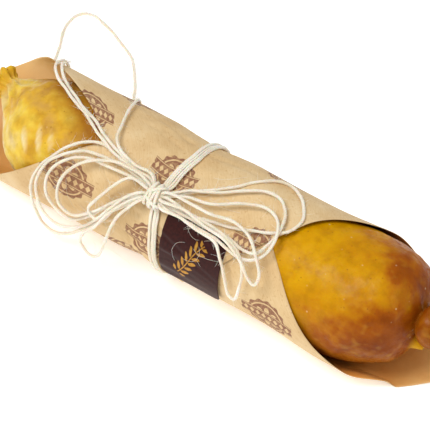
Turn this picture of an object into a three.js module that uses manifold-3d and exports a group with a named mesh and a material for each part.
// A cured sausage wrapped cornerwise in a square of kraft paper and tied with a twine bow.
// Millimetres, +Z up, X along the package, +X towards the knobbed end. The floor is z = 0.
//
// Two coordinates describe most of it. A place on the wrapped sheet is (x, across): along the
// package, and along the paper from the sheet's middle line. A place on the outside of the package
// is (x, around, lift): along it, over it from the top ridge (negative on the near side), and the
// height above the sheet's middle surface. Beyond the widest line the second one goes straight down.

import * as THREE from 'three';
import Module from 'manifold-3d';
import { mergeVertices } from 'three/addons/utils/BufferGeometryUtils.js';

const wasm = await Module();
wasm.setup();

// Package
const ROLL_RADIUS = 34;
const AXIS_HEIGHT = 33;
const NEAR_END_FLARE = 1.6;
const WAIST_X = -11.6;
const WAIST_DEPTH = 1.5;
const WAIST_FLAT = 4;
const WAIST_LENGTH = 28;
const GROOVE_HEIGHT = 2;
const GAP = 0.3;

// Paper
const SHEET_SIDE = 232;
const SHEET_CELLS = 28;
const PAPER_THICKNESS = 0.4;
const LAYER_STEP = 1.2;
const MIDDLE_LINE_ANGLE = 142.7;
const FLAP_SLIDE = 12;
const FLAP_NARROWING = 0.15;
const NEAR_FLAP_STRETCH = 0.13;
const BACK_CORNER_STRETCH = 0.08;
const FAR_CORNER_SAG = 6;

// Twine
const TWINE = 1.3;
const BAND_PITCH = 1.6;
const BAND_COUNT = 5;
const BAND_STEPS = 30;
// How far the band leans along the package at shares of its way round.
const BAND_LEAN = [[0, 1.5], [0.1, 3.5], [0.2, 2], [0.3, 0.5], [0.62, 1], [0.85, 4], [0.93, 3.5], [1, 1]];
const KNOT_AROUND = -24.5;
const KNOT_SIZE = [11, 13, 9];

const rad = THREE.MathUtils.degToRad;
const smooth = THREE.MathUtils.smoothstep;

// How far x is out of the tied waist: 0 in it, 1 clear of it.
function outOfWaist(x) {
  return smooth(Math.abs(x - WAIST_X), WAIST_FLAT, WAIST_LENGTH);
}

function rollRadius(x) {
  return ROLL_RADIUS - WAIST_DEPTH * (1 - outOfWaist(x)) + NEAR_END_FLARE * smooth(x, 60, 95);
}

// The package rests on flats on both sides of the groove that the twine runs through.
function undersideHeight(x) {
  return GROOVE_HEIGHT * (1 - outOfWaist(x));
}

// A point on the section at x, at an angle from the top, pressed flat underneath.
function onSection(x, angle, radius, lowest) {
  const y = radius * Math.sin(angle);
  const z = Math.max(AXIS_HEIGHT + radius * Math.cos(angle), lowest);
  return new THREE.Vector3(x, y, z);
}

// Wrapped sheet ------------------------------------------------------------------------------

// Where a point of the flat sheet ends up along the package. The outer flap, with positive across,
// was pulled along as it was closed, and the near one stands out further at the far end.
function alongPackage(x, across) {
  const pulled = smooth(across, 0, 40) * (1 - smooth(across, 60, 98));
  const slide = FLAP_SLIDE * pulled * Math.min(1, Math.abs(x) / 60);
  const narrowed = 1 - FLAP_NARROWING * smooth(across, 55, 90);
  if (x > 0) return x * narrowed - slide;
  const nearFlap = NEAR_FLAP_STRETCH * smooth(-across, 20, 70);
  const backCorner = BACK_CORNER_STRETCH * smooth(across, 0, 20) * (1 - smooth(across, 25, 45));
  return x * narrowed * (1 + nearFlap + backCorner) - slide;
}

// The corner behind the far end stands up as a wall, and has sunk a little.
function cornerSag(x, across) {
  return FAR_CORNER_SAG * smooth(-x, 118, 134) * smooth(across, 8, 28) * (1 - smooth(across, 36, 50));
}

function onSheet(x, across, offset) {
  const place = alongPackage(x, across);
  const radius = rollRadius(place) + LAYER_STEP * smooth(across, 15, 50) + offset;
  const angle = rad(MIDDLE_LINE_ANGLE) - (across - cornerSag(x, across)) / rollRadius(place);
  const lowest = undersideHeight(place) + PAPER_THICKNESS / 2 - offset;
  return onSection(place, angle, radius, lowest);
}

// A closed thin shell over a square grid whose diagonals run along and across the package.
function sheetGeometry() {
  const cell = SHEET_SIDE / SHEET_CELLS;
  const half = SHEET_SIDE / 2;
  const rows = SHEET_CELLS + 1;
  const positions = [];
  for (const offset of [PAPER_THICKNESS / 2, -PAPER_THICKNESS / 2]) {
    for (let i = 0; i < rows; i += 1) {
      for (let j = 0; j < rows; j += 1) {
        const a = i * cell - half;
        const b = j * cell - half;
        const point = onSheet((a + b) / Math.SQRT2, (a - b) / Math.SQRT2, offset);
        positions.push(point.x, point.y, point.z);
      }
    }
  }
  const at = (side, i, j) => side * rows * rows + i * rows + j;
  const faces = [];
  for (let i = 0; i < SHEET_CELLS; i += 1) {
    for (let j = 0; j < SHEET_CELLS; j += 1) {
      const [p, q, r, s] = [[i, j], [i + 1, j], [i + 1, j + 1], [i, j + 1]];
      faces.push(at(0, ...p), at(0, ...q), at(0, ...r), at(0, ...p), at(0, ...r), at(0, ...s));
      faces.push(at(1, ...p), at(1, ...r), at(1, ...q), at(1, ...p), at(1, ...s), at(1, ...r));
    }
  }
  const last = SHEET_CELLS;
  const wall = (p, q) => faces.push(at(0, ...q), at(0, ...p), at(1, ...p), at(0, ...q), at(1, ...p), at(1, ...q));
  for (let k = 0; k < SHEET_CELLS; k += 1) {
    wall([k, 0], [k + 1, 0]);
    wall([last, k], [last, k + 1]);
    wall([k + 1, last], [k, last]);
    wall([0, k + 1], [0, k]);
  }
  return closedGeometry(positions, faces);
}

// Sausage --------------------------------------------------------------------------------------

// Along, radius, and how far the axis has moved sideways and up.
const BODY_STATIONS = [
  [-144, 6, 11.5, 3], [-141, 8.5, 11.5, 3], [-138.5, 7, 11, 2.5], [-136, 6, 10, 2], [-132, 9, 8, 1.5],
  [-127, 13.5, 5.5, 1], [-121, 18.5, 3.5, 0.8], [-114, 24, 1.5, 0.3], [-105, 28.3, 0.5, 0], [-94, 31, 0, 0],
  [-74, 32.2, 0, 0], [-44, 32, 0, 0], [-26, 31.4, 0, 0], [-14, 31.2, 0, 0], [-2, 31.4, 0, 0], [16, 32, 0, 0],
  [46, 32.8, 0, 0], [76, 33.6, 0, 0], [90, 33.7, 0.4, 0.5], [102, 32.8, 1, 1.6], [112, 30.3, 1.8, 2.6],
  [120, 26.3, 2.6, 3.2], [125, 21.8, 3, 3], [128, 16.5, 3, 2.4], [129.2, 11.5, 3, 1.8], [129.9, 8.8, 3, 1.5],
  [132, 8.6, 3, 1.5], [135, 9.6, 3, 1.4], [139, 10, 3, 1.3], [144, 9.4, 3, 1.2], [149, 7.4, 3, 1.2],
  [152.5, 4, 3, 1.2],
];
const BODY_SIDES = 28;

function sausageGeometry() {
  const positions = [];
  const faces = [];
  const first = BODY_STATIONS[0];
  const last = BODY_STATIONS[BODY_STATIONS.length - 1];
  positions.push(first[0] - 1, first[2], AXIS_HEIGHT + first[3]);
  positions.push(last[0] + 1.5, last[2], AXIS_HEIGHT + last[3]);
  BODY_STATIONS.forEach(([x, radius, aside, up]) => {
    const lowest = undersideHeight(x) + PAPER_THICKNESS + GAP;
    for (let k = 0; k < BODY_SIDES; k += 1) {
      const point = onSection(x, (2 * Math.PI * k) / BODY_SIDES, radius, -Infinity);
      positions.push(point.x, point.y + aside, Math.max(point.z + up, lowest));
    }
  });
  const at = (ring, k) => 2 + ring * BODY_SIDES + (k % BODY_SIDES);
  for (let k = 0; k < BODY_SIDES; k += 1) {
    faces.push(0, at(0, k), at(0, k + 1));
    faces.push(1, at(BODY_STATIONS.length - 1, k + 1), at(BODY_STATIONS.length - 1, k));
    for (let ring = 0; ring + 1 < BODY_STATIONS.length; ring += 1) {
      faces.push(at(ring, k), at(ring + 1, k), at(ring + 1, k + 1));
      faces.push(at(ring, k), at(ring + 1, k + 1), at(ring, k + 1));
    }
  }
  return joined(closedGeometry(positions, faces), teatGeometry());
}

// The small teat beside the tied knob, grown from the casing.
function teatGeometry() {
  const profile = [[0, -6], [4.5, -6], [3.6, 0], [2.4, 4], [1.1, 6.6], [0, 7.4]];
  const teat = new THREE.LatheGeometry(profile.map(([r, h]) => new THREE.Vector2(r, h)), 16);
  teat.rotateZ(-Math.PI / 2);
  teat.rotateY(rad(14));
  teat.translate(128.8, -3.3, AXIS_HEIGHT - 5.2);
  return teat;
}

// Label ---------------------------------------------------------------------------------------

const LABEL_X = [-3, 34];
const LABEL_AROUND = [-66, -27];
const LABEL_THICKNESS = 0.35;
const LABEL_STEPS = [6, 12];
const LABEL_CORNER = 4;

// Moves a point of the unit square in, so that the plate's corners are round.
function labelPlace(u, v) {
  const width = LABEL_X[1] - LABEL_X[0];
  const height = LABEL_AROUND[1] - LABEL_AROUND[0];
  const around = LABEL_AROUND[0] + v * height;
  const inCorner = Math.max(0, LABEL_CORNER - Math.min(v, 1 - v) * height);
  const inset = LABEL_CORNER - Math.sqrt(LABEL_CORNER ** 2 - inCorner ** 2);
  const x = LABEL_X[0] + inset + u * (width - 2 * inset);
  return [x, around];
}

function labelGeometry() {
  const [columns, rows] = LABEL_STEPS;
  const under = LAYER_STEP + PAPER_THICKNESS / 2 + GAP;
  const positions = [];
  for (const lift of [under + LABEL_THICKNESS, under]) {
    for (let i = 0; i <= columns; i += 1) {
      for (let j = 0; j <= rows; j += 1) {
        const v = 0.5 - 0.5 * Math.cos((Math.PI * j) / rows);
        const [x, around] = labelPlace(i / columns, v);
        const point = onSection(x, around / ROLL_RADIUS, ROLL_RADIUS + lift, 0);
        positions.push(point.x, point.y, point.z);
      }
    }
  }
  const at = (side, i, j) => (side * (columns + 1) + i) * (rows + 1) + j;
  const faces = [];
  for (let i = 0; i < columns; i += 1) {
    for (let j = 0; j < rows; j += 1) {
      const [p, q, r, s] = [[i, j], [i + 1, j], [i + 1, j + 1], [i, j + 1]];
      faces.push(at(0, ...p), at(0, ...q), at(0, ...r), at(0, ...p), at(0, ...r), at(0, ...s));
      faces.push(at(1, ...p), at(1, ...r), at(1, ...q), at(1, ...p), at(1, ...s), at(1, ...r));
    }
  }
  const wall = (p, q) => faces.push(at(0, ...q), at(0, ...p), at(1, ...p), at(0, ...q), at(1, ...p), at(1, ...q));
  for (let i = 0; i < columns; i += 1) {
    wall([i, 0], [i + 1, 0]);
    wall([i + 1, rows], [i, rows]);
  }
  for (let j = 0; j < rows; j += 1) {
    wall([columns, j], [columns, j + 1]);
    wall([0, j + 1], [0, j]);
  }
  return closedGeometry(positions, faces);
}

// Twine ---------------------------------------------------------------------------------------

// A point on the outside of the package, which drops straight down past its widest lines.
function onDrape(x, around, lift) {
  const radius = ROLL_RADIUS + lift;
  const widest = (ROLL_RADIUS * Math.PI) / 2;
  if (Math.abs(around) <= widest) return onSection(x, around / ROLL_RADIUS, radius, 0);
  return new THREE.Vector3(x, Math.sign(around) * radius, AXIS_HEIGHT - (Math.abs(around) - widest));
}

function strandGeometry(points, steps) {
  const section = new THREE.Shape();
  const sides = 8;
  for (let k = 0; k < sides; k += 1) {
    const angle = (2 * Math.PI * (k + 0.5)) / sides;
    const corner = [(TWINE / 2) * Math.cos(angle), (TWINE / 2) * Math.sin(angle)];
    if (k === 0) section.moveTo(...corner);
    else section.lineTo(...corner);
  }
  section.closePath();
  const path = new THREE.CatmullRomCurve3(points, false, 'centripetal');
  return new THREE.ExtrudeGeometry(section, { steps, extrudePath: path, bevelEnabled: false });
}

function bandLean(share) {
  const next = Math.max(1, BAND_LEAN.findIndex(([place]) => place >= share));
  const [[low, from], [high, to]] = [BAND_LEAN[next - 1], BAND_LEAN[next]];
  return THREE.MathUtils.mapLinear(share, low, high, from, to);
}

// One strand of the band: from the knot over the top, down the back, under and up again. The ring
// leans a little along the package.
function bandGeometry(index) {
  const x = WAIST_X + (index - (BAND_COUNT - 1) / 2) * BAND_PITCH;
  const radius = ROLL_RADIUS - WAIST_DEPTH + LAYER_STEP + PAPER_THICKNESS / 2 + GAP + TWINE / 2 + 0.2;
  const lowest = GROOVE_HEIGHT - GAP - TWINE / 2;
  const start = (KNOT_AROUND + KNOT_SIZE[1] / 2 + 1) / ROLL_RADIUS;
  const turn = 2 * Math.PI - (KNOT_SIZE[1] + 2) / ROLL_RADIUS;
  const points = [];
  for (let k = 0; k <= BAND_STEPS; k += 1) {
    const share = k / BAND_STEPS;
    const lean = bandLean(share);
    points.push(onSection(x + lean, start + turn * share, radius, lowest));
  }
  return strandGeometry(points, BAND_STEPS);
}

// Bow loops, as [along, around, lift]. Each one leaves the knot, and comes back to it.
const RIGHT_LOOPS = [
  [[-5, -21, 2.8], [7, -13.2, 2.8], [20, -3, 2.8], [29, 9, 2.8], [36, 15.5, 2.8], [43.5, 15.5, 2.8],
    [51, 11, 2.8], [58, 3.5, 2.8], [61.5, -3, 2.8], [59, -9.5, 2.8], [52, -14, 2.8], [42, -18, 2.8],
    [28, -22, 2.8], [12, -24.2, 2.8], [-5, -25, 2.8]],
  [[-5, -20, 4.4], [4, -14.9, 4.4], [18, -9.4, 4.4], [29, -1.5, 4.4], [37, 2.5, 4.4], [45, 2, 4.4],
    [51.5, -3, 4.4], [55, -12, 4.4], [54, -21, 4.4], [50, -26.5, 4.4], [43, -27.5, 4.4], [32, -25.8, 4.4],
    [14, -26.2, 4.4], [-5, -26, 4.4]],
  [[-5, -22, 6], [4, -18.9, 6], [18, -15.9, 6], [33, -9, 6], [45, -7, 6], [53.5, -10.5, 6], [57, -17, 6],
    [56, -24.5, 6], [50, -29.8, 6], [42, -30.5, 6], [29, -28.5, 6], [12, -28.2, 6], [-5, -27, 6]],
  [[-5, -28, 7.6], [6, -27.7, 7.6], [19, -28.5, 7.6], [29, -29.5, 7.4], [35, -35.5, 6.4], [39, -44, 5],
    [42, -51.5, 4], [45.5, -52.5, 3.8], [48, -45, 4.6], [48.5, -36, 6.3], [43, -29, 7.8], [30, -25, 7.6],
    [12, -24.2, 7.6], [-5, -23, 7.6]],
  [[-5, -25, 9.2], [8, -24, 9.2], [22, -25.5, 9.2], [36, -27, 9.2], [46, -31.5, 8.8], [53, -36.5, 8.2],
    [57.5, -37.5, 8], [58.5, -33.5, 8], [54, -27.5, 8.6], [46, -21.5, 9.2], [35, -18.8, 9.2],
    [20, -20.5, 9.2], [-5, -21, 9.2]],
];
const LEFT_LOOPS = [
  [[-18, -21, 2.8], [-28, -17.6, 2.8], [-40, -17.2, 2.8], [-51.5, -15, 2.8], [-62, -17.5, 2.8],
    [-69.5, -23.5, 2.8], [-75, -31, 2.8], [-80, -38, 2.8], [-83.5, -46, 2.8], [-85, -55, 2.8],
    [-83, -66, 3], [-78, -75, 3.2], [-70, -77.5, 3.2], [-61, -73, 3], [-50, -62.5, 2.8], [-38, -48.9, 2.8],
    [-29, -35.1, 2.8], [-18, -26.2, 2.8]],
  [[-18, -22, 4.4], [-30, -20.2, 4.4], [-44, -20, 4.4], [-59, -22, 4.4], [-70, -28, 4.4], [-77, -36, 4.4],
    [-80, -46, 4.4], [-79.5, -57, 4.4], [-74.5, -65.5, 4.4], [-65.5, -68, 4.4], [-52, -61, 4.4],
    [-38, -46.4, 4.4], [-18, -28, 4.4]],
  [[-18, -23, 6], [-30, -22.2, 6], [-43, -22.8, 6], [-58, -25, 6], [-68, -31, 6], [-73, -39, 5.8],
    [-72.5, -48, 5.8], [-66.5, -55, 5.8], [-57, -56.5, 6], [-44, -48, 6], [-32, -36.8, 6], [-18, -28, 6]],
  [[-18, -21, 7.6], [-29, -19.4, 7.6], [-42, -20.4, 7.6], [-53, -24.5, 7.4], [-61, -32, 7.2],
    [-65, -41, 7.2], [-63, -49, 7.2], [-55, -51.5, 7.4], [-42, -44.4, 7.6], [-30, -34.2, 7.6],
    [-18, -26, 7.6]],
  [[-18, -23, 9.2], [-27, -22.8, 9.2], [-33, -28.1, 9.2], [-40, -36.7, 9], [-43.5, -43, 9], [-39, -45.6, 9],
    [-32.5, -39.4, 9.2], [-26, -31.6, 9.2], [-18, -25.8, 9.2]],
  [[-18, -29.6, 9.2], [-26, -40.1, 9.2], [-31, -52.5, 8.8], [-35, -64.6, 8], [-39.5, -72.1, 7.4], [-45, -74, 7.2],
    [-49.5, -68, 7.6], [-46.5, -59, 8.6], [-38, -49.4, 9.2], [-29, -37.5, 9.2], [-18, -28, 9.2]],
];

// The loop to hang the sausage by goes over the package and lies slack on the floor behind it.
const HANGING_LOOP = [
  [-18, -19, 6.2], [-30, -18.7, 6.2], [-42, -17.1, 5.6], [-50, -14.8, 4.8], [-58, -11.6, 3.4],
  [-64, -8.6, 2.8], [-70, -5.8, 1.6], [-81, -1.2, -0.5], [-92, 4.6, -1.4], [-101, 9.6, -0.4],
  [-107, 14, 1.6], [-110.5, 19, 2.6], [-112.5, 26, 2.9], [-114.5, 34, 2.9], [-117.5, 46, 2.9],
  [-124, 60, 2.9], [-135, 74, 2.9],
];
const HANGING_FLOOR = [
  [-143, 44, 2.6], [-150, 57, 0.9], [-157, 72, 0.8], [-163.5, 85, 0.8], [-168.5, 97, 0.8],
  [-168.5, 107, 0.8], [-162, 112, 0.8], [-152, 110.5, 0.8], [-138, 104.5, 0.8], [-123, 96.5, 0.8],
  [-111, 85, 0.8], [-101, 70, 0.8], [-92, 55, 0.9], [-86, 45.5, 2.6],
];
const HANGING_RETURN = [
  [-82, 74, 3], [-76, 60, 3], [-70, 46, 3], [-64, 30, 3], [-58, 14, 3], [-52, 0, 3.2], [-47, -9.5, 5],
  [-40, -14.7, 7], [-30, -17.2, 7.8], [-18, -17.5, 7.8],
];
const TAIL = [
  [-18, -17.3, 6.2], [-30, -17, 6.2], [-42, -15.4, 5.6], [-50, -13, 4.8], [-58, -9.7, 3.4],
  [-64, -6.7, 2.8], [-69.5, -4.1, 1.8], [-80, 0.7, -0.3], [-91, 6.5, -1.2], [-99, 11.1, -0.2],
  [-104, 14.5, 1.6], [-107.6, 19.5, 2.7], [-109.8, 26.5, 3],
];

function loopGeometry(route, steps) {
  return strandGeometry(route.map((place) => onDrape(...place)), steps);
}

function hangingLoopGeometry() {
  const out = HANGING_LOOP.map((place) => onDrape(...place));
  const floor = HANGING_FLOOR.map((place) => new THREE.Vector3(...place));
  const back = HANGING_RETURN.map((place) => onDrape(...place));
  return strandGeometry([...out, ...floor, ...back], 78);
}

// A lumpy knot: a ball squashed to size, with three shallow wraps round it.
function knotGeometry() {
  const ball = new THREE.SphereGeometry(0.5, 18, 12);
  const places = ball.attributes.position;
  const base = LAYER_STEP + GAP;
  for (let k = 0; k < places.count; k += 1) {
    const [x, y, z] = [places.getX(k), places.getY(k), places.getZ(k)];
    const lump = 1 - 0.07 * Math.cos(6 * Math.PI * x);
    const along = WAIST_X + x * KNOT_SIZE[0];
    const around = KNOT_AROUND + y * KNOT_SIZE[1] * lump;
    const lift = base + (z + 0.5) * KNOT_SIZE[2] * lump;
    const point = onDrape(along, around, lift);
    places.setXYZ(k, point.x, point.y, point.z);
  }
  return solidGeometry(toSolid(ball));
}

// Solids --------------------------------------------------------------------------------------

function closedGeometry(positions, faces) {
  const geometry = new THREE.BufferGeometry();
  geometry.setAttribute('position', new THREE.Float32BufferAttribute(positions, 3));
  geometry.setIndex(faces);
  return geometry;
}

function toSolid(geometry) {
  const bare = geometry.clone();
  bare.deleteAttribute('normal');
  bare.deleteAttribute('uv');
  const merged = mergeVertices(bare, 1e-4);
  const index = merged.index.array;
  const kept = [];
  for (let k = 0; k < index.length; k += 3) {
    const [a, b, c] = [index[k], index[k + 1], index[k + 2]];
    if (a !== b && b !== c && c !== a) kept.push(a, b, c);
  }
  return new wasm.Manifold(new wasm.Mesh({
    numProp: 3,
    vertProperties: new Float32Array(merged.attributes.position.array),
    triVerts: new Uint32Array(kept),
  }));
}

function solidGeometry(solid) {
  const mesh = solid.getMesh();
  return closedGeometry(Array.from(mesh.vertProperties), Array.from(mesh.triVerts));
}

function joined(first, second) {
  return solidGeometry(toSolid(first).add(toSolid(second)));
}

// Materials -----------------------------------------------------------------------------------

const material = (color, roughness) => new THREE.MeshStandardMaterial({ color, roughness, metalness: 0 });
const casing = () => material(0xc8860f, 0.35);
const kraftPaper = () => material(0xd9bb88, 0.85);
const varnishedLabel = () => material(0x2a0d10, 0.3);
const cottonTwine = () => material(0xf1e8d2, 0.9);

// The package ---------------------------------------------------------------------------------

const group = new THREE.Group();

function addPiece(name, geometry, finish) {
  const mesh = new THREE.Mesh(geometry, finish);
  mesh.name = name;
  group.add(mesh);
}

addPiece('sausage', sausageGeometry(), casing());
addPiece('wrapping_paper', sheetGeometry(), kraftPaper());
addPiece('label', labelGeometry(), varnishedLabel());
for (let index = 0; index < BAND_COUNT; index += 1) {
  addPiece(`twine_band_${index + 1}`, bandGeometry(index), cottonTwine());
}
addPiece('twine_knot', knotGeometry(), cottonTwine());
LEFT_LOOPS.forEach((route, index) => {
  addPiece(`bow_loop_left_${index + 1}`, loopGeometry(route, 36), cottonTwine());
});
RIGHT_LOOPS.forEach((route, index) => {
  addPiece(`bow_loop_right_${index + 1}`, loopGeometry(route, 36), cottonTwine());
});
addPiece('hanging_loop', hangingLoopGeometry(), cottonTwine());
addPiece('twine_tail', loopGeometry(TAIL, 24), cottonTwine());

export default group;
